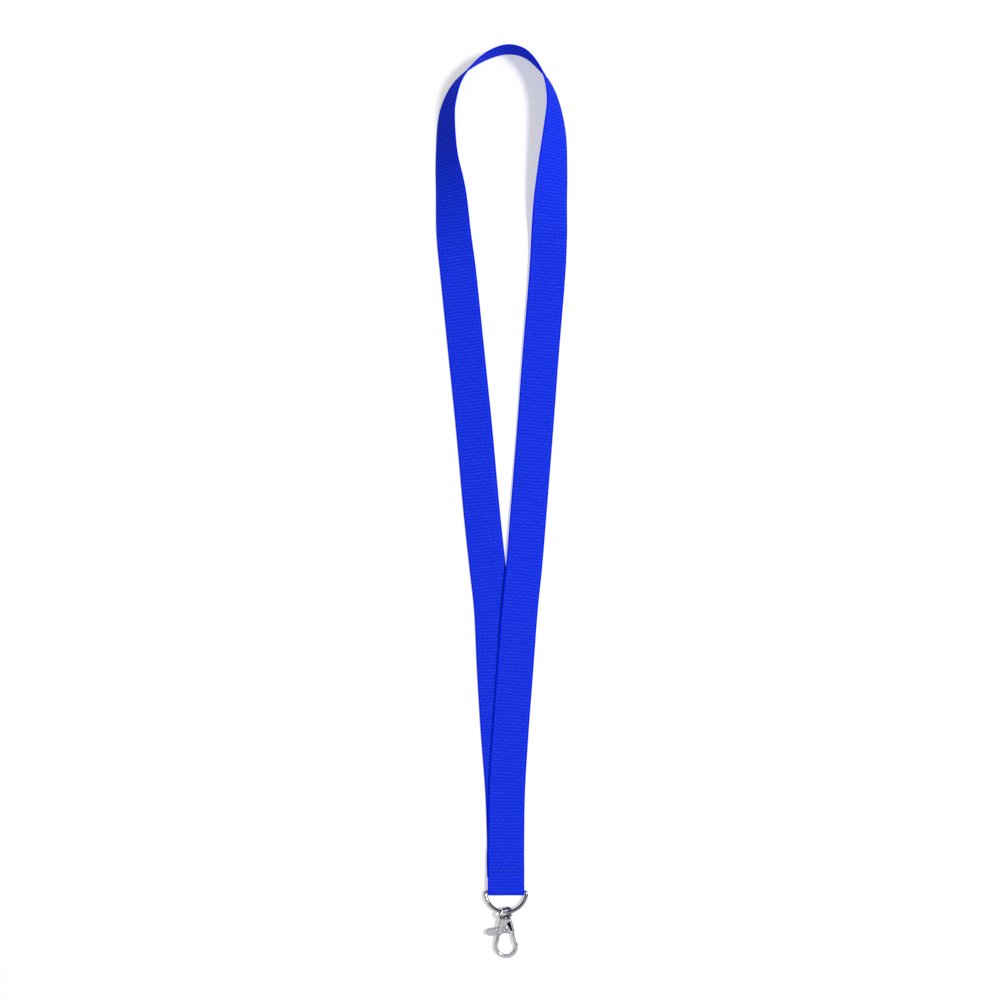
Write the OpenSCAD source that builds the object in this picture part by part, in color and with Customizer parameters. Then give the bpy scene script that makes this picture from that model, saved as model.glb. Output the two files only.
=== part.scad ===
// Neck lanyard: one loop of woven webbing, sewn round a D-ring that carries a swivel trigger hook.
// It lies on its side on a table: +Y runs from the hook to the top of the loop, +Z is up.
// The origin is under the middle of the whole object.

/* [Webbing] */
// Width of the webbing
web_w = 20; // [15:0.5:24]
// Thickness of the webbing
web_t = 1.0; // [0.7:0.05:1.3]
// Length of the loop, from the D-ring's bar to the middle of its far end
loop_l = 459; // [380:1:560]
// Width of the open loop, outside its two outer edges
loop_w = 72.8; // [60:0.2:90]
// Gap between layers of webbing that lie on each other
layer_gap = 0.1; // [0.05:0.01:0.2]
// Length of the tail that is folded back behind the D-ring's bar
tail_l = 14.5; // [14:0.5:24]

/* [Seam] */
// Distance of the seam from the D-ring's bar
seam_y = 12.3; // [11:0.1:13]
// Length of the zigzag seam across the webbing
seam_w = 15; // [9:0.5:15]
// Length of one stitch along the seam
stitch_l = 1.5; // [1.2:0.1:2]
// Width of the zigzag
zigzag_w = 1.0; // [0.6:0.1:1.6]
// Diameter of the sewing thread
thread_d = 0.4; // [0.3:0.05:0.45]

/* [D-ring] */
// Diameter of the ring's wire
ring_wire_d = 1.8; // [1.4:0.1:2.2]
// Gap between the webbing's edge and the ring's side, where they come closest
ring_side_gap = 0.12; // [0.1:0.02:0.6]
// Height of the bar below the middle of the ring's arc
ring_rise = 0.6; // [0.4:0.1:1.5]
// Gap between the wire and the webbing folded round it
bar_gap = 0.1; // [0.05:0.01:0.2]

/* [Swivel eye] */
// Diameter of the eye's round section
eye_wire_d = 1.7; // [1.4:0.1:1.9]
// Gap between the eye and the ring's wire at its far end
eye_gap = 0.2; // [0.15:0.05:0.5]
// Turn of the eye about the hook's long axis, as it lies
eye_turn = 38; // [32:1:60]
// Diameter of the swivel post
post_d = 1.8; // [1.4:0.1:2]
// Diameter of the peened end of the post
post_head_d = 2.7; // [2.4:0.1:2.8]
// Running gap of the post in the neck, on the radius
post_gap = 0.05; // [0.03:0.01:0.1]

/* [Hook] */
// Inner width of the open hook
hook_inner_w = 9.6; // [8:0.2:12]
// Width of the hook's bar, seen from above
hook_bar_w = 1.5; // [1.3:0.1:2]
// Thickness of the hook's bar
hook_bar_t = 2.4; // [2:0.1:3]
// Thickness across the two cheeks
cheek_outer_t = 4.0; // [3.8:0.1:4.2]
// Width of the slot between the cheeks
slot_t = 1.6; // [1.5:0.1:1.7]

/* [Trigger] */
// Gap between the lever and each cheek
lever_side_gap = 0.1; // [0.05:0.01:0.15]
// Thickness of the thumb tab, outside the cheeks
tab_t = 2.6; // [1.8:0.1:3]
// Thickness of the gate, outside the cheeks
gate_t = 2.2; // [1.8:0.1:2.4]
// Diameter of the rivet's shank
rivet_d = 1.4; // [1.2:0.1:1.5]
// Diameter of the rivet's heads
rivet_head_d = 3.6; // [3:0.1:4]
// Running gap of the lever on the rivet, on the radius
pivot_gap = 0.04; // [0.03:0.01:0.1]
// Diameter of the spring's wire
spring_wire_d = 0.25; // [0.2:0.01:0.26]

/* [Hidden] */
$fn = 48;

// The webbing's middle line, from the sewn end of the left leg, round the loop, to the seam again.
// Each row holds x from the middle, y from the D-ring's bar, the tilt of the webbing out of flat
// in degrees, and the layers of webbing under it, not counting the tail.
top_tilt = 88;
route = [
    [2.1, 8, 0, 0], [1.9, 18, 0, 0], [2, 30, 0, 0], [1, 56, 0, 0], [-1.5, 89, 0, 0], [-3.5, 122, 0, 0],
    [-5, 154, 0, 0], [-7.5, 177, 0, 0], [-11, 210, 1, 0], [-15, 254, 2, 0], [-19.5, 298, 3, 0],
    [-23.5, 337, 6, 0], [-26.1, 360, 18, 0], [-27.6, 382, 34, 0], [-29.8, 401, 52, 0], [-30, 421, 61, 0],
    [-28, 432, 66, 0], [-23.5, 442, 73, 0], [-16, 450, 80, 0], [-7, 456, 86, 0], [3, 459, top_tilt, 0],
    [12.5, 457, 87, 0], [20, 450, 84, 0], [25.5, 441, 76, 0], [28.5, 429, 66, 0], [29, 414, 50, 0],
    [28, 396, 36, 0], [26.7, 377, 22, 0], [26.1, 358, 8, 0], [25, 337, 4, 0], [21.5, 294, 3, 0],
    [18.5, 254, 2, 0], [15, 210, 3, 0], [12.5, 179, 5, 0], [10, 155, 3, 0.5], [7.5, 122, 0, 1],
    [5, 89, 0, 1], [3, 56, 0, 1], [2.5, 28, 0, 1], [2.5, 12.5, 0, 1]
];
route_l = 459;
route_w = 72.8;
route_web_w = 20;
// Share of the webbing's width that shows from above where the loop is widest
widest_share = 0.6875;
lap_end = 30;
clasp_x = 2.5;
steps = 4;

layer_pitch = web_t + layer_gap;
fold_r = ring_wire_d / 2 + bar_gap + web_t / 2;
ring_r = ring_wire_d / 2 + norm([web_w / 2 + ring_side_gap, fold_r + web_t / 2 + ring_rise]);
bar_z = fold_r + web_t / 2;
seam_lock_z = layer_pitch + web_t / 2;
joint_step = 0.1;
joint_lap = 0.25;
ring_bend_r = (ring_wire_d + joint_step) / 2 + 0.1;
ring_bend_lap = 0.15;

// The eye's outline: two large corners at its top and two small ones at its foot
eye_top_r = 1.9;
eye_foot_r = 1.3;
eye_top_y = ring_wire_d / 2 + eye_gap + eye_wire_d / 2;
eye_foot_y = -2.3;
eye_top_x = 1.2;
eye_foot_x = 2.9;
eye_side_x = eye_foot_x + eye_foot_r;

// Both the eye and the far end of the hook rest on the table, so the clasp slopes down to its end
slope_room = 0.15;
eye_z = eye_side_x * sin(eye_turn) + eye_wire_d / 2 + slope_room;
ring_depth = ring_r - ring_rise;
ring_tilt = asin((eye_z - bar_z) / ring_depth);
ring_y = -ring_depth * cos(ring_tilt);

collar_d = 4.4;
post_head_h = 0.7;
neck_y = -3.2;
neck_l = 1.4;
pocket_end_y = -6.4;
slot_top_y = -6.4;
pivot = [-0.5, -9.1];
hook_inner_r = hook_inner_w / 2;
hook_outer_r = hook_inner_r + hook_bar_w;
hook_centre = [0.2, -19.2];
nose_x = hook_centre.x + hook_inner_r - 0.6;
opening_top = [-0.3, -14.4, 3.4];
hook_reach = hook_outer_r - hook_centre.y;
clasp_tilt = asin((eye_z - hook_bar_t / 2) / hook_reach);
bar_y = -(loop_l + (web_t + web_w * cos(top_tilt)) / 2 + ring_y - hook_reach * cos(clasp_tilt)) / 2;

taper_start_y = -11.2;
taper_end_y = -16.5;
hook_end_y = hook_centre.y - hook_outer_r - 1;
hub_r = 1.9;
lever_t = slot_t - 2 * lever_side_gap;
rivet_head_h = 0.5;
rivet_seat_gap = 0.02;
spring_coil_r = 1.1;
spring_pocket_r = 1.45;
spring_low_z = -0.1;
spring_high_z = 0.6;
spring_start_a = 262;
spring_sweep = 802;
spring_leg_in = 3.6;
spring_leg_out = 2.55;

// Angle of the line that touches circles a and b on their right-hand side, each [x, y, radius]
function touch_angle(a, b) =
    let (dx = b.x - a.x, dy = b.y - a.y)
    atan2(dy, dx) - acos((a.z - b.z) / norm([dx, dy]));
function turn(from, to) = (to - from + 720) % 360;
function at(circle, angle) = [circle.x + circle.z * cos(angle), circle.y + circle.z * sin(angle)];

// Points of the belt that runs anticlockwise round a list of circles
function belt(circles, parts = 16) =
    let (n = len(circles))
    [for (i = [0:n - 1])
        let (before = circles[(i + n - 1) % n], after = circles[(i + 1) % n],
            start = touch_angle(before, circles[i]),
            sweep = turn(start, touch_angle(circles[i], after)))
        for (k = [0:parts]) at(circles[i], start + sweep * k / parts)];

// Round bar cast along the same belt. Its straight stretches are a little thinner than its bends.
module wire_loop(circles, d) {
    n = len(circles);
    for (i = [0:n - 1]) {
        circle_i = circles[i];
        after = circles[(i + 1) % n];
        start = touch_angle(circles[(i + n - 1) % n], circle_i);
        end = touch_angle(circle_i, after);
        translate([circle_i.x, circle_i.y, 0])
            rotate([0, 0, start])
                rotate_extrude(angle = turn(start, end)) translate([circle_i.z, 0]) circle(d = d);
        wire_between(at(circle_i, end), at(after, end), d - joint_step, joint_lap);
    }
}

module wire_between(p, q, d, lap) {
    translate([p.x, p.y, 0])
        rotate([0, 0, atan2(q.y - p.y, q.x - p.x)])
            translate([-lap, 0, 0]) rotate([0, 90, 0]) cylinder(h = norm(q - p) + 2 * lap, d = d);
}

// Thin round wire along a list of points
function unit(v) = v / norm(v);
function wire_ring(way, i, d) =
    let (t = unit(way[min(i + 1, len(way) - 1)] - way[max(i - 1, 0)]),
        s = unit(cross(t, [0, 0, 1])), u = cross(s, t))
    [for (k = [0:7]) way[i] + d / 2 * (s * cos(45 * k + 22.5) + u * sin(45 * k + 22.5))];

module thin_wire(way, d) {
    n = len(way);
    points = [for (i = [0:n - 1]) each wire_ring(way, i, d)];
    sides = [for (i = [0:n - 2]) for (k = [0:7])
        [8 * i + k, 8 * i + (k + 1) % 8, 8 * i + (k + 1) % 8 + 8, 8 * i + k + 8]];
    first = [for (k = [7:-1:0]) k];
    last = [for (k = [0:7]) 8 * (n - 1) + k];
    polyhedron(points, concat(sides, [first, last]));
}

// Webbing: a flat band swept along stations, each [middle, direction across, direction out of its face]
function spline(a, b, c, d, t) =
    0.5 * (2 * b + (c - a) * t + (2 * a - 5 * b + 4 * c - d) * t * t
        + (3 * b - a - 3 * c + d) * t * t * t);
function row(i) = route[min(max(i, 0), len(route) - 1)];
// The tail is one more layer up to its end, and the webbing comes down to the table just past it
function tail_layer(y) =
    y < tail_l + 1 ? 1 : y > lap_end ? 0 : (1 + cos(180 * (y - tail_l - 1) / (lap_end - tail_l - 1))) / 2;
function scaled(r) = [
    clasp_x + (r.x - clasp_x) * (loop_w - widest_share * web_w) / (route_w - widest_share * route_web_w),
    bar_y + (r.y < lap_end ? r.y : lap_end + (r.y - lap_end) * (loop_l - lap_end) / (route_l - lap_end)),
    max(r[2], 0), max(r[3], 0) + tail_layer(r.y)];
path = [for (i = [0:len(route) - 2]) for (k = [0:steps - 1])
    scaled(spline(row(i - 1), row(i), row(i + 1), row(i + 2), k / steps)), scaled(row(len(route) - 1))];

function heading(i) =
    let (a = path[max(i - 1, 0)], b = path[min(i + 1, len(path) - 1)])
    unit([b.x - a.x, b.y - a.y]);
function loop_station(i) =
    let (p = path[i], t = heading(i), tilt = p[2], inward = [t.y, -t.x])
    [
        [p.x, p.y, p[3] * layer_pitch + web_w / 2 * sin(tilt) + web_t / 2 * cos(tilt)],
        [inward.x * cos(tilt), inward.y * cos(tilt), sin(tilt)],
        [-inward.x * sin(tilt), -inward.y * sin(tilt), cos(tilt)]
    ];
fold_stations = [for (a = [90:15:270])
    [[clasp_x, bar_y + fold_r * cos(a), bar_z + fold_r * sin(a)], [-1, 0, 0], [0, cos(a), sin(a)]]];
tail_station = [[clasp_x, bar_y + tail_l, bar_z - fold_r], [-1, 0, 0], [0, 0, -1]];
stations = concat([for (i = [0:len(path) - 1]) loop_station(i)], fold_stations, [tail_station]);

function band_corners(s) =
    let (across = s[1] * web_w / 2, out = s[2] * web_t / 2)
    [s[0] - across + out, s[0] + across + out, s[0] + across - out, s[0] - across - out];

module webbing_strap() {
    n = len(stations);
    points = [for (s = stations) each band_corners(s)];
    // Each side is split along the same diagonal on both faces, which keeps the thickness even
    sides = [for (i = [0:n - 2]) for (k = [0:3])
        let (a = 4 * i + k, b = 4 * i + (k + 1) % 4, c = b + 4, d = a + 4)
        each (k < 2 ? [[a, d, c], [a, c, b]] : [[a, d, b], [d, c, b]])];
    end = 4 * (n - 1);
    ends = [[0, 1, 2], [0, 2, 3], [end + 2, end + 1, end], [end + 3, end + 2, end]];
    color("royalblue") polyhedron(points, concat(sides, ends));
}

// Seam: zigzag stitches on one face, each with a stub down to the middle of the layers
stitches = floor(seam_w / stitch_l);
function stitch_hole(i, z) = [
    clasp_x + (i - stitches / 2) * stitch_l, bar_y + seam_y + (i % 2 == 0 ? -1 : 1) * zigzag_w / 2, z];

module stitch_row(face_z, end_z) {
    thin_wire([for (i = [0:stitches]) stitch_hole(i, face_z)], thread_d);
    for (i = [0:stitches])
        translate(stitch_hole(i, min(face_z, end_z)))
            cylinder(h = abs(end_z - face_z), d = 0.7 * thread_d, $fn = 8);
}

module needle_thread() {
    color("mediumblue") stitch_row(3 * layer_pitch - layer_gap, seam_lock_z + layer_gap / 2);
}

module bobbin_thread() {
    color("mediumblue") stitch_row(thread_d / 2, seam_lock_z - layer_gap / 2);
}

// Where the ring and the clasp lie
module in_ring_place() {
    translate([clasp_x, bar_y, bar_z]) rotate([-ring_tilt, 0, 0]) children();
}
module in_clasp_place() {
    translate([clasp_x, bar_y + ring_y, eye_z]) rotate([clasp_tilt, 0, 0]) children();
}

// Nearly half a circle of wire and a straight bar, with a tight bend from one to the other at each end
module d_ring() {
    bend_at = [sqrt((ring_r - ring_bend_r) ^ 2 - (ring_bend_r + ring_rise) ^ 2), -ring_bend_r];
    end_angle = asin((ring_bend_r + ring_rise) / (ring_r - ring_bend_r));
    lap_angle = asin(ring_bend_lap / ring_bend_r);
    color("silver") in_ring_place() {
        translate([0, ring_rise, 0]) rotate([0, 0, 180 + end_angle])
            rotate_extrude(angle = 180 - 2 * end_angle) translate([ring_r, 0]) circle(d = ring_wire_d);
        translate([-bend_at.x, 0, 0]) rotate([0, 90, 0]) cylinder(h = 2 * bend_at.x, d = ring_wire_d);
        for (side = [0, 1]) mirror([side, 0, 0])
            translate([bend_at.x, bend_at.y, 0]) rotate([0, 0, -end_angle - lap_angle])
                rotate_extrude(angle = 90 + end_angle + 2 * lap_angle)
                    translate([ring_bend_r, 0]) circle(d = ring_wire_d + joint_step / 2);
    }
}

module along_y(from, to, d) {
    translate([0, from, 0]) rotate([from > to ? 90 : -90, 0, 0]) cylinder(h = abs(to - from), d = d);
}

module swivel_eye() {
    collar_top_y = eye_foot_y - eye_wire_d / 4;
    collar_y = neck_y + 0.1;
    head_y = neck_y - neck_l - 0.1;
    color("silver") in_clasp_place() {
        rotate([0, eye_turn, 0])
            wire_loop([
                [-eye_top_x, eye_top_y - eye_top_r, eye_top_r],
                [-eye_foot_x, eye_foot_y + eye_foot_r, eye_foot_r],
                [eye_foot_x, eye_foot_y + eye_foot_r, eye_foot_r],
                [eye_top_x, eye_top_y - eye_top_r, eye_top_r]], eye_wire_d);
        along_y(collar_top_y, collar_y, collar_d);
        along_y(eye_foot_y, head_y - 0.3, post_d);
        along_y(head_y, head_y - post_head_h, post_head_d);
    }
}

module hook_outline() {
    polygon(belt([[-2.1, -4.2, 1], [hook_centre.x, hook_centre.y, hook_outer_r], [1.9, -4.2, 1]], 32));
}
module hook_opening() {
    polygon(belt([opening_top, [hook_centre.x, hook_centre.y, hook_inner_r]], 32));
}
module gate_way() {
    polygon([[2, -11.2], [9, -11.2], [9, -15.3], [nose_x, -18.7], [1, -17], [1, -13]]);
}
module slot_area() {
    polygon([[-9, slot_top_y], [9, slot_top_y], [9, -14], [0, -14], [-2.6, -12.3], [-4.9, -13.7],
        [-9, -13.7]]);
}
module window_area() {
    polygon([[2, -4.5], [0.5, -5.9], [3, -10.3], [3.5, -10.1]]);
}
// The casting seen from the side: full thickness at the cheeks, tapering down to the hook's bar
module side_outline() {
    cheek = cheek_outer_t / 2;
    bar = hook_bar_t / 2;
    polygon([[neck_y, -cheek], [neck_y, cheek], [taper_start_y, cheek], [taper_end_y, bar],
        [hook_end_y, bar], [hook_end_y, -bar], [taper_end_y, -bar], [taper_start_y, -cheek]]);
}

module plate(t) {
    translate([0, 0, -t / 2]) linear_extrude(t) children();
}

module hook_body() {
    color("silver") in_clasp_place() difference() {
        intersection() {
            plate(2 * cheek_outer_t) difference() {
                hook_outline();
                hook_opening();
            }
            rotate([90, 0, 90]) plate(4 * hook_outer_r) side_outline();
        }
        plate(2 * cheek_outer_t) gate_way();
        plate(slot_t) slot_area();
        translate([0, 0, slot_t / 2]) linear_extrude(cheek_outer_t) window_area();
        along_y(neck_y + 1, neck_y - neck_l - 0.1, post_d + 2 * post_gap);
        along_y(neck_y - neck_l, pocket_end_y - 0.1, post_head_d + 0.3);
        translate([pivot.x, pivot.y, -cheek_outer_t])
            cylinder(h = 2 * cheek_outer_t, d = rivet_d + 2 * rivet_seat_gap);
    }
}

module trigger_lever() {
    tab = [[-6.4, -11.9, 0.8], [-6.1, -9.9, 0.8], [-8.9, -11.2, 1.7]];
    color("silver") in_clasp_place() difference() {
        union() {
            plate(lever_t) {
                translate(pivot) circle(hub_r);
                polygon([[-1.2, -7.6], [-6, -9.2], [-6.6, -12.6], [-2.3, -10.9]]);
                polygon([[0.6, -7.6], [3.4, -8.6], [4.35, -11], [4.65, -12.6], [3.5, -12.6], [3.1, -11.3],
                    [0.5, -10.7]]);
            }
            plate(tab_t) polygon(belt([tab[1], tab[2], tab[0]], 16));
            plate(gate_t) polygon([[3.45, -12.4], [4.6, -12.4], [nose_x + 1.3, -17], [nose_x - 0.05, -18]]);
        }
        translate([pivot.x, pivot.y, -cheek_outer_t])
            cylinder(h = 2 * cheek_outer_t, d = rivet_d + 2 * pivot_gap);
        translate([pivot.x, pivot.y, -0.25]) cylinder(h = cheek_outer_t, r = spring_pocket_r);
        // Ways for the spring's two ends
        translate([pivot.x, pivot.y, 0.4]) linear_extrude(2)
            polygon([[0, 0], [-0.6, 3], [-3, 3], [-3, 1.2]]);
        translate([pivot.x, pivot.y, -0.25]) rotate([0, 0, spring_start_a - 270])
            translate([-0.2, -spring_coil_r - 0.25, 0]) cube([spring_leg_in + 0.5, 0.5, 2]);
    }
}

module pivot_rivet() {
    half = cheek_outer_t / 2;
    color("lightgray") in_clasp_place() translate([pivot.x, pivot.y, 0]) difference() {
        union() {
            translate([0, 0, -half - 0.1]) cylinder(h = cheek_outer_t + 0.2, d = rivet_d);
            for (side = [0, 1]) mirror([0, 0, side])
                translate([0, 0, half])
                    cylinder(h = rivet_head_h, d1 = rivet_head_d, d2 = rivet_head_d - 0.6);
        }
        for (side = [0, 1]) mirror([0, 0, side])
            translate([0, 0, half + 0.1]) cylinder(h = 1, d1 = 0.8, d2 = 1.9);
    }
}

// Torsion spring: coils round the rivet, one end in the lever and the other against the neck
coil_steps = 54;
function coil_point(i) =
    let (a = spring_start_a - spring_sweep * i / coil_steps)
    [spring_coil_r * cos(a), spring_coil_r * sin(a),
        spring_low_z + (spring_high_z - spring_low_z) * i / coil_steps];
spring_way = concat(
    [coil_point(0) + spring_leg_in * [-sin(spring_start_a), cos(spring_start_a), 0]],
    [for (i = [0:coil_steps]) coil_point(i)],
    [coil_point(coil_steps) + [0, spring_leg_out, 0]]);

module torsion_spring() {
    color("dimgray") in_clasp_place() translate([pivot.x, pivot.y, 0]) thin_wire(spring_way, spring_wire_d);
}

webbing_strap();
needle_thread();
bobbin_thread();
d_ring();
swivel_eye();
hook_body();
trigger_lever();
pivot_rivet();
torsion_spring();
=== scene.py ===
import math

import bpy
import numpy as np
from mathutils import Matrix, Vector


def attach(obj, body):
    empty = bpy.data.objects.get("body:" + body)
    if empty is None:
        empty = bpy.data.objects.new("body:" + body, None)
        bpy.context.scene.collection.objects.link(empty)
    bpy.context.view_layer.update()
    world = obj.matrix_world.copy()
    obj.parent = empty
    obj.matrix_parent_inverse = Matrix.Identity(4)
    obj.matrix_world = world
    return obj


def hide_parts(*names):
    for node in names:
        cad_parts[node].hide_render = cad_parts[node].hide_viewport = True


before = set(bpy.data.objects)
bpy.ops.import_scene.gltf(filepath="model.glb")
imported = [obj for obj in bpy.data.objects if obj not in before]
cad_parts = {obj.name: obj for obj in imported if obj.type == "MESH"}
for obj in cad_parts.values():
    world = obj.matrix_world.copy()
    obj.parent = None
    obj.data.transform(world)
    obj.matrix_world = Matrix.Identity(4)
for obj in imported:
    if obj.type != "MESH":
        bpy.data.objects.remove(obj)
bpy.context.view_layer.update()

bpy.ops.object.select_all(action="DESELECT")

# ---- Camera -------------------------------------------------------------------------------------
# It looks straight down at the lanyard as it lies on a table, from 0.85 m above it, and the lanyard
# fills most of the picture's height.
camera_height = 0.85
bpy.ops.object.camera_add(location=(-0.0008, 0.0027, camera_height), rotation=(0, 0, 0))
camera = bpy.context.object
camera.data.lens, camera.data.sensor_width = 55.75, 36
camera.data.clip_start, camera.data.clip_end = 0.01, 20
bpy.context.scene.camera = camera

# ---- Table and light ----------------------------------------------------------------------------
# A white table top that glows a little, as a light table does, under a soft lamp high on the right.
# The pale room has a dark band above and a dark side, which give the bright metal its dark streaks.
grain_per_metre = 900
mirror_dimming = 0.95
bpy.context.scene.view_settings.view_transform = "Standard"
bpy.ops.mesh.primitive_plane_add(size=8, location=(0, 0, 0))
table_top = bpy.context.object
table_top.name = "table_top"
table_paint = bpy.data.materials.new("table_paint")
table_paint.use_nodes = True
nodes, links = table_paint.node_tree.nodes, table_paint.node_tree.links
paint = nodes["Principled BSDF"]
grain = nodes.new("ShaderNodeTexNoise")
grain.inputs["Scale"].default_value = grain_per_metre
tint = nodes.new("ShaderNodeValToRGB")
tint.color_ramp.elements[0].color = (0.545, 0.545, 0.59, 1)
tint.color_ramp.elements[1].color = (0.565, 0.565, 0.61, 1)
where = nodes.new("ShaderNodeTexCoord")
links.new(where.outputs["Object"], grain.inputs["Vector"])
links.new(grain.outputs["Fac"], tint.inputs["Fac"])
links.new(tint.outputs["Color"], paint.inputs["Base Color"])
paint.inputs["Roughness"].default_value = 0.9
paint.inputs["Specular IOR Level"].default_value = 0.0
paint.inputs["Emission Color"].default_value = (0.50, 0.50, 0.45, 1)
# The glow is nearly gone where the metal mirrors the table
glow = nodes.new("ShaderNodeMath")
glow.operation = "MULTIPLY_ADD"
links.new(nodes.new("ShaderNodeLightPath").outputs["Is Glossy Ray"], glow.inputs[0])
glow.inputs[1].default_value, glow.inputs[2].default_value = -mirror_dimming, 1.0
links.new(glow.outputs[0], paint.inputs["Emission Strength"])
table_top.data.materials.append(table_paint)

bpy.ops.object.light_add(type="AREA", location=(0.98, 0.12, 1.74))
key_lamp = bpy.context.object
key_lamp.data.shape, key_lamp.data.size = "DISK", 0.38
key_lamp.data.energy = 34
key_lamp.rotation_euler = (Vector((0, 0, 0)) - key_lamp.location).to_track_quat("-Z", "Y").to_euler()

# Heights in the room, from level to straight up, and how bright its walls and ceiling are there
wall_levels = ((0.0, 0.40), (0.12, 0.35), (0.24, 0.03), (0.62, 0.02), (0.72, 0.80))
room = bpy.data.worlds.new("room")
bpy.context.scene.world = room
room.use_nodes = True
nodes, links = room.node_tree.nodes, room.node_tree.links
air = nodes["Background"]
direction = nodes.new("ShaderNodeTexCoord")
split = nodes.new("ShaderNodeSeparateXYZ")
height = nodes.new("ShaderNodeValToRGB")
for place, level in wall_levels:
    stop = height.color_ramp.elements[0] if place == 0.0 else height.color_ramp.elements.new(place)
    stop.color = (level, level, level * 1.03, 1)
last_stop = height.color_ramp.elements[-1]
last_stop.position, last_stop.color = 1.0, (0.92, 0.92, 0.96, 1)
dark_side = nodes.new("ShaderNodeValToRGB")
lit_stop, dark_stop = dark_side.color_ramp.elements
lit_stop.position, lit_stop.color = 0.0, (1, 1, 1, 1)
dark_stop.position, dark_stop.color = 0.10, (0.04, 0.04, 0.045, 1)
sideways = nodes.new("ShaderNodeVectorMath")
sideways.operation = "DOT_PRODUCT"
sideways.inputs[1].default_value = (0.45, 0.9, 0)
seen = nodes.new("ShaderNodeMix")
seen.data_type, seen.blend_type = "RGBA", "MULTIPLY"
seen.inputs["Factor"].default_value = 1.0
# Mirrored rays see the walls, other bounced rays an even light, and the camera a pale backdrop
rays = nodes.new("ShaderNodeLightPath")
either = nodes.new("ShaderNodeMix")
either.data_type = "RGBA"
either.inputs["A"].default_value = (0.40, 0.405, 0.43, 1)
links.new(direction.outputs["Generated"], split.inputs["Vector"])
links.new(split.outputs["Z"], height.inputs["Fac"])
links.new(direction.outputs["Generated"], sideways.inputs[0])
links.new(sideways.outputs["Value"], dark_side.inputs["Fac"])
links.new(height.outputs["Color"], seen.inputs["A"])
links.new(dark_side.outputs["Color"], seen.inputs["B"])
links.new(rays.outputs["Is Glossy Ray"], either.inputs["Factor"])
links.new(seen.outputs["Result"], either.inputs["B"])
backdrop = nodes.new("ShaderNodeMix")
backdrop.data_type = "RGBA"
backdrop.inputs["B"].default_value = (1.15, 1.15, 1.16, 1)
links.new(rays.outputs["Is Camera Ray"], backdrop.inputs["Factor"])
links.new(either.outputs["Result"], backdrop.inputs["A"])
links.new(backdrop.outputs["Result"], air.inputs["Color"])
air.inputs["Strength"].default_value = 0.8

# ---- Webbing ------------------------------------------------------------------------------------
# One length of 20 mm ribbed polyester webbing, woven with a smooth selvedge on each edge. Its left
# end is sandwiched in the seam. Its right end goes round the D-ring's bar and back under the seam.
web_w, web_t, layer_gap = 0.020, 0.001, 0.0001
layer_pitch = web_t + layer_gap
clasp_x, tail_l, tail_end_gap, lap_end = 0.0025, 0.0145, 0.001, 0.030
bar_y, bar_z, fold_r = -0.211915, 0.002, 0.0015
line_steps, fold_step = 16, 6
# Each row: x from the middle, y from the D-ring's bar, tilt in degrees, layers of webbing under it
route_mm = [
    (2.1, 8, 0, 0), (1.9, 18, 0, 0), (2, 30, 0, 0), (1, 56, 0, 0), (-1.5, 89, 0, 0), (-3.5, 122, 0, 0),
    (-5, 154, 0, 0), (-7.5, 177, 0, 0), (-11, 210, 1, 0), (-15, 254, 2, 0), (-19.5, 298, 3, 0),
    (-23.5, 337, 6, 0), (-26.1, 360, 18, 0), (-27.6, 382, 34, 0), (-29.8, 401, 52, 0), (-30, 421, 61, 0),
    (-28, 432, 66, 0), (-23.5, 442, 73, 0), (-16, 450, 80, 0), (-7, 456, 86, 0), (3, 459, 88, 0),
    (12.5, 457, 87, 0), (20, 450, 84, 0), (25.5, 441, 76, 0), (28.5, 429, 66, 0), (29, 414, 50, 0),
    (28, 396, 36, 0), (26.7, 377, 22, 0), (26.1, 358, 8, 0), (25, 337, 4, 0), (21.5, 294, 3, 0),
    (18.5, 254, 2, 0), (15, 210, 3, 0), (12.5, 179, 5, 0), (10, 155, 3, 0.5), (7.5, 122, 0, 1),
    (5, 89, 0, 1), (3, 56, 0, 1), (2.5, 28, 0, 1), (2.5, 12.5, 0, 1),
]


def tail_layer(y):
    """Share of a layer that the folded-back tail puts under the webbing, at a distance from the bar."""
    run = np.clip((y - tail_l - tail_end_gap) / (lap_end - tail_l - tail_end_gap), 0, 1)
    return (1 + np.cos(math.pi * run)) / 2


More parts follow.
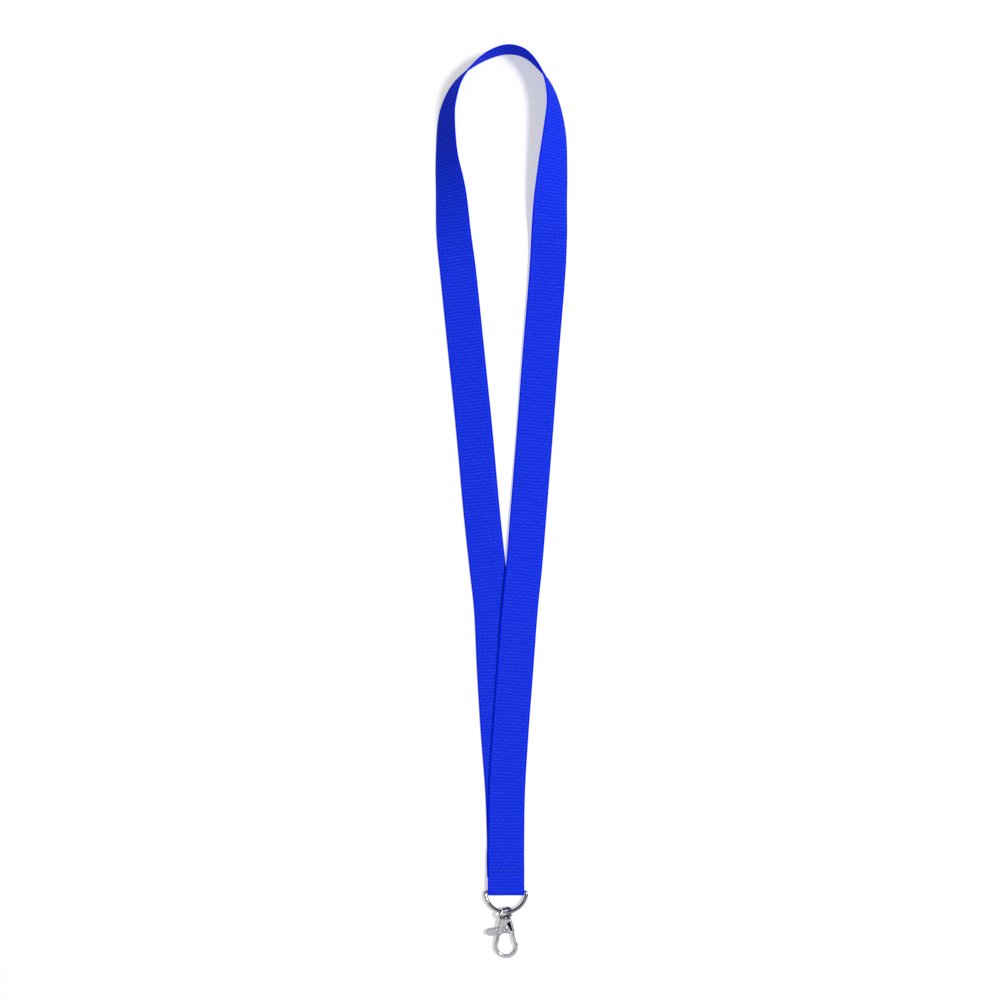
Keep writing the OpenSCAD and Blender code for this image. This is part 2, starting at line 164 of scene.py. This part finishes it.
def webbing_line():
    """Middle, direction across and direction out of the face, at close steps along the webbing."""
    rows = np.array(route_mm, float) * (0.001, 0.001, 1, 1)
    padded_rows = np.vstack([rows[:1], rows, rows[-1:], rows[-1:]])
    found = []
    for i in range(len(rows) - 1):
        a, b, c, d = padded_rows[i:i + 4]
        for t in np.arange(0, 1, 1 / line_steps):
            found.append(0.5 * (2 * b + (c - a) * t + (2 * a - 5 * b + 4 * c - d) * t ** 2
                                + (3 * b - a - 3 * c + d) * t ** 3))
    found = np.array(found + [rows[-1]])
    tilt = np.radians(np.maximum(found[:, 2], 0))
    layers = np.maximum(found[:, 3], 0) + tail_layer(found[:, 1])
    heading = np.gradient(found[:, :2], axis=0)
    heading /= np.linalg.norm(heading, axis=1)[:, None]
    inward = np.stack([heading[:, 1], -heading[:, 0]], axis=1)
    middle = np.column_stack([found[:, 0], found[:, 1] + bar_y,
                              layers * layer_pitch + web_w / 2 * np.sin(tilt) + web_t / 2 * np.cos(tilt)])
    across = np.column_stack([inward * np.cos(tilt)[:, None], np.sin(tilt)])
    out = np.column_stack([-inward * np.sin(tilt)[:, None], np.cos(tilt)])
    turn = np.radians(np.arange(90, 271, fold_step))
    fold_middle = np.column_stack([np.full(len(turn), clasp_x), bar_y + fold_r * np.cos(turn),
                                   bar_z + fold_r * np.sin(turn)])
    fold_out = np.column_stack([np.zeros(len(turn)), np.cos(turn), np.sin(turn)])
    tail_middle = [[clasp_x, bar_y + tail_l, bar_z - fold_r]]
    middle = np.vstack([middle, fold_middle, tail_middle])
    across = np.vstack([across, np.tile([-1.0, 0, 0], (len(turn) + 1, 1))])
    out = np.vstack([out, fold_out, [[0, 0, -1]]])
    return middle, across, out


rib_pitch, rib_steps, rib_depth, rib_spread = 0.00183, 4, 0.00010, 0.25
yarn_pitch, yarn_depth = 0.0028, 0.00003
slip, slip_turns, slip_shift = 0.00012, 420, 0.31
selvedge_start, selvedge_blend, selvedge_ribs = 0.0088, 0.0004, 0.75
seam_y, stitch_l, stitches, zigzag_w = 0.0123, 0.0015, 10, 0.001
pinch_r, pinch_depth = 0.0009, 0.00016
cut_l, cut_share = 0.0012, 0.62
middle, across, out = webbing_line()
length = np.concatenate([[0], np.cumsum(np.linalg.norm(np.diff(middle, axis=0), axis=1))])
web_l = length[-1]
rings = int(web_l / rib_pitch) * rib_steps + 1
along = np.linspace(0, web_l, rings)
middle, across, out = (np.column_stack([np.interp(along, length, v[:, k]) for k in range(3)])
                       for v in (middle, across, out))
across /= np.linalg.norm(across, axis=1)[:, None]
out /= np.linalg.norm(out, axis=1)[:, None]

# Columns of points across the webbing, close together at each selvedge
side = np.array([-9.93, -9.6, -9.2, -8.8, *np.arange(-7.7, 7.8, 1.4), 8.8, 9.2, 9.6, 9.93]) / 1000
columns = np.concatenate([side, [0.010], side[::-1], [-0.010]])
face = np.concatenate([np.ones(len(side)), [0], -np.ones(len(side)), [0]])
edge = np.clip((np.abs(columns) - selvedge_start) / selvedge_blend, 0, 1)
# Half of the thickness: the selvedge is a little thinner than the middle, and rounded at its rim
rim = np.select([np.abs(columns) > 0.0098, np.abs(columns) > 0.0095, np.abs(columns) > 0.0091],
                [0.00030, 0.00042, 0.00040], web_t / 2)
chance = np.random.default_rng(7)
rib_number = np.arange(rings) // rib_steps
rib_size = 1 + rib_spread * (chance.random(rib_number.max() + 1) - 0.5)[rib_number]
rib_wave = np.cos(2 * math.pi * np.arange(rings) / rib_steps)
sunk = rib_depth * rib_size[:, None] * (0.5 - 0.5 * rib_wave[:, None]) * (1 - selvedge_ribs * edge)
yarn_turn = 2 * math.pi * columns / yarn_pitch + math.pi * (rib_number % 2)[:, None]
yarn = yarn_depth * np.cos(yarn_turn) * (1 - edge)
half = rim - sunk - yarn_depth - yarn
# The webbing is pinched where the needle goes through it
seam_along = web_l - tail_l - math.pi * fold_r - seam_y
seam_under = web_l - tail_l + seam_y
holes = (np.arange(stitches + 1) - stitches / 2) * stitch_l
for i, hole in enumerate(holes):
    row_shift = zigzag_w / 2 * (-1 if i % 2 == 0 else 1)
    for spot in (seam_along - row_shift, seam_under + row_shift):
        near = ((columns - hole) ** 2 + (along[:, None] - spot) ** 2) / pinch_r ** 2
        half = half - pinch_depth * np.exp(-near) * (face > 0)
# Each cut end is seared, which thins it
from_end = np.minimum(along, web_l - along)
half = half * np.minimum(1, cut_share + (1 - cut_share) * from_end / cut_l)[:, None]
weave_slip = slip * np.sin(columns * slip_turns + rib_number[:, None] * slip_shift) * (1 - edge)
forward = np.gradient(middle, axis=0)
forward /= np.linalg.norm(forward, axis=1)[:, None]
points = (middle[:, None] + across[:, None] * columns[None, :, None]
          + out[:, None] * (half * face)[..., None] + forward[:, None] * weave_slip[..., None])
wide = len(columns)
quads = [(r * wide + k, r * wide + (k + 1) % wide, (r + 1) * wide + (k + 1) % wide, (r + 1) * wide + k)
         for r in range(rings - 1) for k in range(wide)]
ends = [tuple(range(wide))[::-1], tuple((rings - 1) * wide + k for k in range(wide))]
webbing_mesh = bpy.data.meshes.new("webbing")
webbing_mesh.from_pydata(points.reshape(-1, 3).tolist(), [], quads + ends)
webbing = bpy.data.objects.new("webbing", webbing_mesh)
bpy.context.scene.collection.objects.link(webbing)
# The weave map holds the distance across and along the webbing, in millimetres
weave_map = webbing_mesh.uv_layers.new(name="weave")
corner = np.zeros(len(webbing_mesh.loops), np.int32)
webbing_mesh.loops.foreach_get("vertex_index", corner)
place = np.stack([np.broadcast_to(columns, (rings, wide)),
                  np.broadcast_to(along[:, None], (rings, wide))], axis=2)
weave_map.data.foreach_set("uv", (place.reshape(-1, 2)[corner] * 1000).astype(np.float32).ravel())
webbing.select_set(True)
bpy.context.view_layer.objects.active = webbing
bpy.ops.object.mode_set(mode="EDIT")
bpy.ops.mesh.select_all(action="SELECT")
bpy.ops.mesh.normals_make_consistent(inside=False)
bpy.ops.object.mode_set(mode="OBJECT")
bpy.ops.object.shade_smooth()

webbing_cloth = bpy.data.materials.new("webbing_cloth")
webbing_cloth.use_nodes = True
nodes, links = webbing_cloth.node_tree.nodes, webbing_cloth.node_tree.links
cloth = nodes["Principled BSDF"]


def wire(value, socket):
    """Joins an output to a socket, or gives the socket a plain value."""
    if hasattr(value, "is_linked"):
        links.new(value, socket)
    else:
        socket.default_value = value


def calc(operation, *values):
    """One Math node of the current finish."""
    node = nodes.new("ShaderNodeMath")
    node.operation = operation
    for socket, value in zip(node.inputs, values):
        wire(value, socket)
    return node.outputs[0]


def wave(turns):
    """A smooth wave of the current finish: 1 at each whole turn, and 0 halfway between."""
    return calc("MULTIPLY_ADD", calc("COSINE", calc("MULTIPLY", turns, 2 * math.pi)), 0.5, 0.5)


def blend_of(share, first, second):
    """A mix of two colours in the current finish."""
    node = nodes.new("ShaderNodeMix")
    node.data_type = "RGBA"
    wire(share, node.inputs["Factor"])
    wire(first, node.inputs["A"])
    wire(second, node.inputs["B"])
    return node.outputs["Result"]


def specks(scale, detail, vector=None):
    """Noise in the current finish, from 0 to 1."""
    node = nodes.new("ShaderNodeTexNoise")
    node.inputs["Scale"].default_value = scale
    node.inputs["Detail"].default_value = detail
    if vector is None:
        vector = nodes.new("ShaderNodeTexCoord").outputs["Object"]
    links.new(vector, node.inputs["Vector"])
    return node.outputs["Fac"]


# Millimetres from here on, as in the weave map
strand_pitch, selvedge_at, line_at, edge_sharpness = 0.93, 8.95, 8.7, 6
needle_r, seam_margin = 0.45, 0.4
fibres_across, fibres_along = 9, 2.2
glints_across, glints_along, glint_from = 1.5, 0.7, 0.42
# Blues of the cloth: painted shade between the ribs and painted light on them, painted glints on the yarn
# crests, worn patches and edge lines, the same painted shade and light for the selvedge, and painted
# shadow in the needle holes
valley_shade_blue, crest_lit_blue = (0.0050, 0.022, 0.60, 1), (0.0085, 0.034, 0.76, 1)
glint_blue, worn_blue, line_blue = (0.036, 0.080, 0.82, 1), (0.006, 0.024, 0.62, 1), (0.05, 0.12, 0.95, 1)
edge_valley_shade_blue, edge_crest_lit_blue = (0.0015, 0.012, 0.62, 1), (0.004, 0.026, 0.86, 1)
hole_shadow_blue = (0.0008, 0.003, 0.09, 1)
weave = nodes.new("ShaderNodeUVMap")
weave.uv_map = "weave"
thread_place = nodes.new("ShaderNodeSeparateXYZ")
links.new(weave.outputs["UV"], thread_place.inputs["Vector"])
over, down = thread_place.outputs["X"], thread_place.outputs["Y"]
rib = calc("DIVIDE", down, web_l * 1000 * rib_steps / (rings - 1))
crest = wave(rib)
fine_rib = wave(calc("MULTIPLY", rib, 2))
odd = calc("MODULO", calc("FLOOR", calc("ADD", rib, 0.5)), 2)
strand = wave(calc("ADD", calc("DIVIDE", over, strand_pitch), calc("MULTIPLY", odd, 0.5)))
fibre_place = nodes.new("ShaderNodeCombineXYZ")
wire(calc("MULTIPLY", over, fibres_across), fibre_place.inputs["X"])
wire(calc("MULTIPLY", down, fibres_along), fibre_place.inputs["Y"])
fibre = specks(1, 3, fibre_place.outputs[0])
patch = specks(160, 2)
away = calc("ABSOLUTE", over)
beyond = calc("MAXIMUM", 0, calc("MULTIPLY", calc("SUBTRACT", away, selvedge_at), edge_sharpness))
selvedge = calc("SMOOTH_MIN", 1, beyond, 0.05)
from_line = calc("MULTIPLY", calc("ABSOLUTE", calc("SUBTRACT", away, line_at)), edge_sharpness)
line = calc("SUBTRACT", 1, calc("MINIMUM", 1, from_line))
# The rib height drives the bump, and also paints shade into the valleys and light onto the crests
lift = calc("MULTIPLY", crest, calc("MULTIPLY_ADD", strand, 0.45, 0.55))
lift = calc("MULTIPLY_ADD", fibre, 0.5, calc("MULTIPLY", lift, 0.7))
# Painted glints: noise specks on the yarn crests stand in for the sheen that catches the lamp
yarn_place = nodes.new("ShaderNodeCombineXYZ")
wire(calc("MULTIPLY", over, glints_across), yarn_place.inputs["X"])
wire(calc("MULTIPLY", down, glints_along), yarn_place.inputs["Y"])
glint = calc("SUBTRACT", specks(1, 2, yarn_place.outputs[0]), glint_from)
glint = calc("MAXIMUM", 0, calc("MULTIPLY", glint, 4))
on_yarn = calc("MULTIPLY", crest, calc("MULTIPLY_ADD", strand, 0.6, 0.4))
glint = calc("MINIMUM", 1, calc("MULTIPLY", glint, on_yarn))
# Painted shade in the rib valleys and painted light on the crests, mixed with random yarn tone
body_blue = blend_of(lift, valley_shade_blue, crest_lit_blue)
# The painted glints go over the rib colour
body_blue = blend_of(glint, body_blue, glint_blue)
body_blue = blend_of(calc("MULTIPLY", patch, 0.15), body_blue, worn_blue)
bright_line = calc("MULTIPLY", line, calc("MULTIPLY", fine_rib, 0.55))
body_blue = blend_of(bright_line, body_blue, line_blue)
# The selvedge's fine ribs get the same painted shade and light
edge_blue = blend_of(fine_rib, edge_valley_shade_blue, edge_crest_lit_blue)
blue = blend_of(selvedge, body_blue, edge_blue)


def needle_marks(seam_at, flip):
    """1 in the middle of each needle hole of a zigzag seam, and 0 away from them."""
    marks = None
    for row in (-1, 1):
        start = 0 if row < 0 else stitch_l * 1000
        step_x = calc("SUBTRACT", over, -stitches / 2 * stitch_l * 1000 + start)
        step_x = calc("PINGPONG", calc("ABSOLUTE", step_x), stitch_l * 1000)
        inside = calc("LESS_THAN", away, stitches / 2 * stitch_l * 1000 + seam_margin)
        step_y = calc("SUBTRACT", down, (seam_at - flip * row * zigzag_w / 2) * 1000)
        gap = calc("SQRT", calc("ADD", calc("POWER", step_x, 2), calc("POWER", step_y, 2)))
        mark = calc("SUBTRACT", 1, calc("MINIMUM", 1, calc("DIVIDE", gap, needle_r)))
        mark = calc("MULTIPLY", mark, inside)
        marks = mark if marks is None else calc("MAXIMUM", marks, mark)
    return marks


needle = calc("MAXIMUM", needle_marks(seam_along, 1), needle_marks(seam_under, -1))
# Painted shadow: the needle holes are coloured nearly black
blue = blend_of(calc("MINIMUM", 1, calc("MULTIPLY", needle, 1.1)), blue, hole_shadow_blue)
links.new(blue, cloth.inputs["Base Color"])
wire(calc("MULTIPLY_ADD", fibre, 0.2, 0.5), cloth.inputs["Roughness"])
cloth.inputs["Specular IOR Level"].default_value = 0.005
body_relief = calc("MULTIPLY", lift, calc("SUBTRACT", 1, selvedge))
edge_relief = calc("MULTIPLY", selvedge, calc("MULTIPLY", fine_rib, 0.5))
relief = calc("SUBTRACT", calc("ADD", body_relief, edge_relief), calc("MULTIPLY", needle, 2.0))
bump = nodes.new("ShaderNodeBump")
bump.inputs["Strength"].default_value = 0.75
bump.inputs["Distance"].default_value = 0.00012
links.new(relief, bump.inputs["Height"])
links.new(bump.outputs["Normal"], cloth.inputs["Normal"])
webbing_mesh.materials.append(webbing_cloth)
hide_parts("webbing_strap")
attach(webbing, "strap")

# ---- Seam threads -------------------------------------------------------------------------------
# Two polyester threads, dyed to match, lock in the middle of the three layers. The needle thread
# zigzags on the top face, the bobbin thread under the tail. One stitch is shaped, then repeated.
thread_d, thread_lift, lock_shift, weld = 0.0004, 0.00002, 0.00005, 0.000001
flattened, spread, dip = 0.25, 0.18, thread_d * 1.1
bend_places = (-0.46, -0.4, -0.3, -0.15, 0.15, 0.3, 0.4, 0.46)
thread_yarn = bpy.data.materials.new("thread_yarn")
thread_yarn.use_nodes = True
nodes, links = thread_yarn.node_tree.nodes, thread_yarn.node_tree.links
yarn_finish = nodes["Principled BSDF"]
twist = nodes.new("ShaderNodeTexWave")
twist.bands_direction = "DIAGONAL"
twist.inputs["Scale"].default_value = 900
twist.inputs["Distortion"].default_value = 1.5
links.new(nodes.new("ShaderNodeTexCoord").outputs["Object"], twist.inputs["Vector"])
links.new(blend_of(twist.outputs["Fac"], (0.004, 0.016, 0.46, 1), (0.011, 0.038, 0.76, 1)),
          yarn_finish.inputs["Base Color"])
wire(calc("MULTIPLY_ADD", specks(4000, 2), 0.2, 0.4), yarn_finish.inputs["Roughness"])
bump = nodes.new("ShaderNodeBump")
bump.inputs["Distance"].default_value = 0.00004
links.new(twist.outputs["Fac"], bump.inputs["Height"])
links.new(bump.outputs["Normal"], yarn_finish.inputs["Normal"])


def sew_row(name, node, face_z, lock_z):
    """A zigzag row of stitches on one face, each end going down through the layers to the lock."""
    up = 1 if face_z > lock_z else -1
    span = math.hypot(stitch_l, zigzag_w)
    bpy.ops.mesh.primitive_cylinder_add(
        vertices=10, radius=thread_d / 2, depth=span, end_fill_type="NOTHING",
        location=(0, 0, 0), rotation=(0, math.pi / 2, 0))
    stitch = bpy.context.object
    bpy.ops.object.transform_apply(location=True, rotation=True, scale=True)
    bpy.ops.object.mode_set(mode="EDIT")
    bpy.ops.mesh.select_all(action="SELECT")
    bpy.ops.mesh.bisect(plane_co=(0, 0, 0), plane_no=(1, 0, 0))
    for share in bend_places:
        bpy.ops.mesh.select_all(action="SELECT")
        bpy.ops.mesh.bisect(plane_co=(share * span, 0, 0), plane_no=(1, 0, 0))
    bpy.ops.object.mode_set(mode="OBJECT")
    # Pulled tight, the thread is flattened in its middle and dips into the cloth at both ends
    for v in stitch.data.vertices:
        share = abs(v.co.x) / (span / 2)
        v.co.z = v.co.z * (1 - flattened * (1 - share ** 2)) - dip * share ** 4
        v.co.y *= 1 + spread * (1 - share ** 2)
    row = []
    for i in range(stitches):
        piece = stitch.copy()
        piece.data = stitch.data.copy()
        bpy.context.scene.collection.objects.link(piece)
        lean = math.atan2(zigzag_w if i % 2 == 0 else -zigzag_w, stitch_l)
        spot = Vector((clasp_x + (holes[i] + holes[i + 1]) / 2, bar_y + seam_y, face_z))
        piece.data.transform(Matrix.Translation(spot) @ Matrix.Scale(up, 4, (0, 0, 1))
                             @ Matrix.Rotation(lean, 4, "Z"))
        row.append(piece)
    low, high = sorted((lock_z, face_z - up * thread_d))
    for i, hole in enumerate(holes):
        row_y = bar_y + seam_y + zigzag_w / 2 * (-1 if i % 2 == 0 else 1)
        bpy.ops.mesh.primitive_cylinder_add(
            vertices=10, radius=thread_d * 0.4, depth=high - low,
            location=(clasp_x + hole, row_y, (low + high) / 2))
        stub = bpy.context.object
        bpy.ops.object.transform_apply(location=True, rotation=True, scale=True)
        row.append(stub)
    bpy.data.objects.remove(stitch)
    bpy.ops.object.select_all(action="DESELECT")
    for piece in row:
        piece.select_set(True)
    bpy.context.view_layer.objects.active = row[0]
    bpy.ops.object.join()
    thread = bpy.context.object
    thread.name = name
    bpy.ops.object.mode_set(mode="EDIT")
    bpy.ops.mesh.select_all(action="SELECT")
    bpy.ops.mesh.remove_doubles(threshold=weld)
    bpy.ops.mesh.fill_holes(sides=12)
    bpy.ops.mesh.normals_make_consistent(inside=False)
    bpy.ops.object.mode_set(mode="OBJECT")
    bpy.ops.object.shade_smooth_by_angle(angle=math.radians(60))
    thread.data.materials.clear()
    thread.data.materials.append(thread_yarn)
    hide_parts(node)
    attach(thread, "strap")
    bpy.ops.object.select_all(action="DESELECT")


seam_top, seam_middle = 3 * layer_pitch - layer_gap, layer_pitch + web_t / 2
sew_row("needle_stitches", "needle_thread", seam_top + thread_lift, seam_middle + lock_shift)
sew_row("bobbin_stitches", "bobbin_thread", thread_d / 2 + thread_lift, seam_middle - lock_shift)

# ---- D-ring -------------------------------------------------------------------------------------
# Steel wire 1.8 mm thick, bent to nearly half a circle and a straight bar, and plated with bright nickel.
# The bar lies in the fold of the webbing, and the ring slopes up from it to the hook's eye.
ring_wire_d, ring_r, ring_rise, bend_r = 0.0018, 0.0113487, 0.0006, 0.00105
ring_steps, bend_steps, ring_weld = 72, 12, 0.00003
ring_tilt = math.radians(8.48397)
ring_place = Matrix.Translation((clasp_x, bar_y, bar_z)) @ Matrix.Rotation(-ring_tilt, 4, "X")
first_a = math.asin((bend_r + ring_rise) / (ring_r - bend_r))
bend_x = (ring_r - bend_r) * math.cos(first_a)
bpy.ops.mesh.primitive_circle_add(
    vertices=24, radius=ring_wire_d / 2, rotation=(math.pi / 2, 0, -first_a),
    location=(ring_r * math.cos(first_a), ring_rise - ring_r * math.sin(first_a), 0))
wire_ring = bpy.context.object
wire_ring.name = "ring_wire"
bpy.ops.object.transform_apply(location=True, rotation=True, scale=True)
bpy.ops.object.mode_set(mode="EDIT")
bpy.ops.mesh.select_all(action="SELECT")
bpy.ops.mesh.spin(steps=ring_steps, angle=math.pi - 2 * first_a, center=(0, ring_rise, 0), axis=(0, 0, 1))
bend_a = math.pi / 2 + first_a
bpy.ops.mesh.spin(steps=bend_steps, angle=bend_a, center=(-bend_x, -bend_r, 0), axis=(0, 0, 1))
bpy.ops.mesh.extrude_region_move(TRANSFORM_OT_translate={"value": (2 * bend_x, 0, 0)})
bpy.ops.mesh.spin(steps=bend_steps, angle=bend_a, center=(bend_x, -bend_r, 0), axis=(0, 0, 1))
bpy.ops.mesh.select_all(action="SELECT")
bpy.ops.mesh.remove_doubles(threshold=ring_weld)
bpy.ops.mesh.normals_make_consistent(inside=False)
bpy.ops.object.mode_set(mode="OBJECT")
bpy.ops.object.shade_smooth()
wire_ring.data.transform(ring_place)


def nickel(name, colour, shine, speck, ripple):
    """Bright nickel plate: a little mottled, with fine rubbing marks."""
    global nodes, links
    metal = bpy.data.materials.new(name)
    metal.use_nodes = True
    nodes, links = metal.node_tree.nodes, metal.node_tree.links
    plate = nodes["Principled BSDF"]
    plate.inputs["Metallic"].default_value = 1.0
    cloudy = specks(speck, 4)
    rubbed = specks(speck * 6, 2)
    darker = tuple(c * 0.82 for c in colour)
    links.new(blend_of(cloudy, (*darker, 1), (*colour, 1)), plate.inputs["Base Color"])
    wire(calc("MULTIPLY_ADD", rubbed, 0.10, shine), plate.inputs["Roughness"])
    rub = nodes.new("ShaderNodeBump")
    rub.inputs["Strength"].default_value = ripple
    rub.inputs["Distance"].default_value = 0.00002
    links.new(calc("ADD", cloudy, calc("MULTIPLY", rubbed, 0.3)), rub.inputs["Height"])
    links.new(rub.outputs["Normal"], plate.inputs["Normal"])
    return metal


wire_ring.data.materials.append(nickel("ring_plate", (0.56, 0.56, 0.58), 0.08, 420, 0.15))
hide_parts("d_ring")
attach(wire_ring, "ring")

# ---- Castings: swivel eye, hook and trigger -----------------------------------------------------
# Zinc castings with softly rounded edges, tumbled and plated. The eye goes round the D-ring's wire,
# and its post turns in the hook's neck. The trigger's tab, hub and gate are one casting.
cast_plate = nickel("cast_plate", (0.73, 0.73, 0.78), 0.12, 700, 0.25)


def casting(name, node, grain_size, rubs, body):
    """Takes the casting's true form, rounds its edges as tumbling does, and plates it."""
    bpy.ops.object.select_all(action="DESELECT")
    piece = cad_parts[node].copy()
    piece.data = piece.data.copy()
    piece.name, piece.parent = name, None
    for key in list(piece.keys()):
        del piece[key]
    bpy.context.scene.collection.objects.link(piece)
    piece.select_set(True)
    bpy.context.view_layer.objects.active = piece
    bpy.ops.object.mode_set(mode="EDIT")
    bpy.ops.mesh.select_all(action="SELECT")
    bpy.ops.mesh.remove_doubles(threshold=weld)
    bpy.ops.object.mode_set(mode="OBJECT")
    fine = piece.modifiers.new("fine", "REMESH")
    fine.mode, fine.voxel_size = "VOXEL", grain_size
    bpy.ops.object.modifier_apply(modifier="fine")
    tumbled = piece.modifiers.new("tumbled", "SMOOTH")
    tumbled.factor, tumbled.iterations = 0.5, rubs
    bpy.ops.object.modifier_apply(modifier="tumbled")
    bpy.ops.object.shade_smooth()
    piece.data.materials.clear()
    piece.data.materials.append(cast_plate)
    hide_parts(node)
    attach(piece, body)
    return piece


casting("eye_casting", "swivel_eye", 0.00007, 8, "eye")
hook = casting("hook_casting", "hook_body", 0.00008, 50, "hook")
trigger = casting("trigger_casting", "trigger_lever", 0.00007, 24, "trigger")
eye_y, eye_z, clasp_tilt = -0.222546, 0.00358578, math.radians(5.36844)
clasp_place = Matrix.Translation((clasp_x, eye_y, eye_z)) @ Matrix.Rotation(clasp_tilt, 4, "X")
# The faces inside the slot between the cheeks, on the hook and on the trigger, are painted near-black as
# shade.
# Above the slot lies the neck's pocket, which is narrower.
slot_y, slot_half_l, slot_half_t = -0.0078, 0.0036, 0.00090
pocket_end_y, pocket_half_w, slot_half_w = -0.0064, 0.0024, 0.0036
# Painted shade: the same plate finish, but nearly black
slot_shade_plate = nickel("slot_shade_plate", (0.03, 0.03, 0.033), 0.6, 700, 0.3)
to_clasp = np.array(clasp_place.inverted())
for piece in (hook, trigger):
    piece.data.materials.append(slot_shade_plate)
    centres = np.zeros(len(piece.data.polygons) * 3)
    piece.data.polygons.foreach_get("center", centres)
    centres = centres.reshape(-1, 3) @ to_clasp[:3, :3].T + to_clasp[:3, 3]
    reach = np.where(centres[:, 1] > pocket_end_y, pocket_half_w, slot_half_w)
    inside = ((np.abs(centres[:, 2]) < slot_half_t) & (np.abs(centres[:, 0]) < reach)
              & (np.abs(centres[:, 1] - slot_y) < slot_half_l))
    piece.data.polygons.foreach_set("material_index", inside.astype(np.int32))

# ---- Pivot rivet --------------------------------------------------------------------------------
# A plated rivet through both cheeks and the trigger's hub, with a low head and a dimple at each end.
rivet_r, head_r, cheek_half = 0.0007, 0.0018, 0.0020
pivot_x, pivot_y = -0.0005, -0.0091
# Each row: how much wider the next ring of the head is, and how far out it lies, in millimetres
head_rings = ((head_r / rivet_r, 0), (1, 0.25), (0.93, 0.17), (0.80, 0.08), (0.62, 0.0), (0.80, -0.16),
              (0.55, -0.16))
pivot_place = clasp_place @ Matrix.Translation((pivot_x, pivot_y, 0))
bpy.ops.object.select_all(action="DESELECT")
bpy.ops.mesh.primitive_cylinder_add(vertices=48, radius=rivet_r, depth=2 * cheek_half, location=(0, 0, 0))
rivet = bpy.context.object
rivet.name = "rivet"
for end in (1, -1):
    bpy.ops.object.mode_set(mode="EDIT")
    bpy.ops.mesh.select_all(action="DESELECT")
    bpy.ops.object.mode_set(mode="OBJECT")
    for f in rivet.data.polygons:
        f.select = f.center.z * end > cheek_half * 0.99
    bpy.ops.object.mode_set(mode="EDIT")
    for widening, rise in head_rings:
        bpy.ops.mesh.extrude_region_move(TRANSFORM_OT_translate={"value": (0, 0, end * rise / 1000)})
        bpy.ops.transform.resize(value=(widening, widening, 1), center_override=(0, 0, 0))
    bpy.ops.object.mode_set(mode="OBJECT")
bpy.ops.object.mode_set(mode="EDIT")
bpy.ops.mesh.select_all(action="SELECT")
bpy.ops.mesh.normals_make_consistent(inside=False)
bpy.ops.object.mode_set(mode="OBJECT")
softened = rivet.modifiers.new("softened", "BEVEL")
softened.width, softened.segments, softened.angle_limit = 0.00006, 3, math.radians(25)
bpy.ops.object.modifier_apply(modifier="softened")
bpy.ops.object.shade_smooth_by_angle(angle=math.radians(50))
rivet.data.transform(pivot_place)
rivet.data.materials.append(nickel("rivet_plate", (0.74, 0.74, 0.77), 0.16, 900, 0.2))
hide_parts("pivot_rivet")
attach(rivet, "hook")

# ---- Torsion spring -----------------------------------------------------------------------------
# Bare spring wire, wound round the rivet inside the trigger's hub. One leg lies in the trigger, and
# the other bears on the neck, so that it holds the gate shut.
coil_r, spring_d, start_a, sweep_a = 0.0011, 0.00025, math.radians(262), math.radians(802)
end_a = start_a - sweep_a
low_z, high_z, trigger_leg, neck_leg, coil_steps = -0.0001, 0.0006, 0.0036, 0.00255, 160
start_spot = Vector((coil_r * math.cos(start_a), coil_r * math.sin(start_a), low_z))
end_spot = Vector((coil_r * math.cos(end_a), coil_r * math.sin(end_a), high_z))
bpy.ops.object.select_all(action="DESELECT")
bpy.ops.mesh.primitive_circle_add(vertices=10, radius=spring_d / 2, rotation=(math.pi / 2, 0, start_a),
                                  location=start_spot)
spring = bpy.context.object
spring.name = "spring"
bpy.ops.object.transform_apply(location=True, rotation=True, scale=True)
wound = spring.modifiers.new("wound", "SCREW")
wound.angle, wound.screw_offset = -sweep_a, high_z - low_z
wound.steps, wound.render_steps = coil_steps, coil_steps
wound.use_merge_vertices = False
bpy.ops.object.modifier_apply(modifier="wound")
for spot, leg in ((start_spot, Vector((-math.sin(start_a), math.cos(start_a), 0)) * trigger_leg),
                  (end_spot, Vector((0, neck_leg, 0)))):
    bpy.ops.object.mode_set(mode="EDIT")
    bpy.ops.mesh.select_all(action="DESELECT")
    bpy.ops.mesh.select_non_manifold()
    bpy.ops.object.mode_set(mode="OBJECT")
    for e in spring.data.edges:
        a, b = (spring.data.vertices[k].co for k in e.vertices)
        e.select = e.select and (a - spot).length < spring_d and (b - spot).length < spring_d
    for v in spring.data.vertices:
        v.select = False
    for e in spring.data.edges:
        if e.select:
            for k in e.vertices:
                spring.data.vertices[k].select = True
    bpy.ops.object.mode_set(mode="EDIT")
    bpy.ops.mesh.extrude_region_move(TRANSFORM_OT_translate={"value": leg})
    bpy.ops.mesh.edge_face_add()
    bpy.ops.object.mode_set(mode="OBJECT")
bpy.ops.object.mode_set(mode="EDIT")
bpy.ops.mesh.select_all(action="SELECT")
bpy.ops.mesh.normals_make_consistent(inside=False)
bpy.ops.object.mode_set(mode="OBJECT")
bpy.ops.object.shade_smooth_by_angle(angle=math.radians(50))
spring.data.transform(pivot_place)
spring.data.materials.append(nickel("spring_wire", (0.46, 0.46, 0.48), 0.22, 1500, 0.2))
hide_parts("torsion_spring")
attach(spring, "hook")
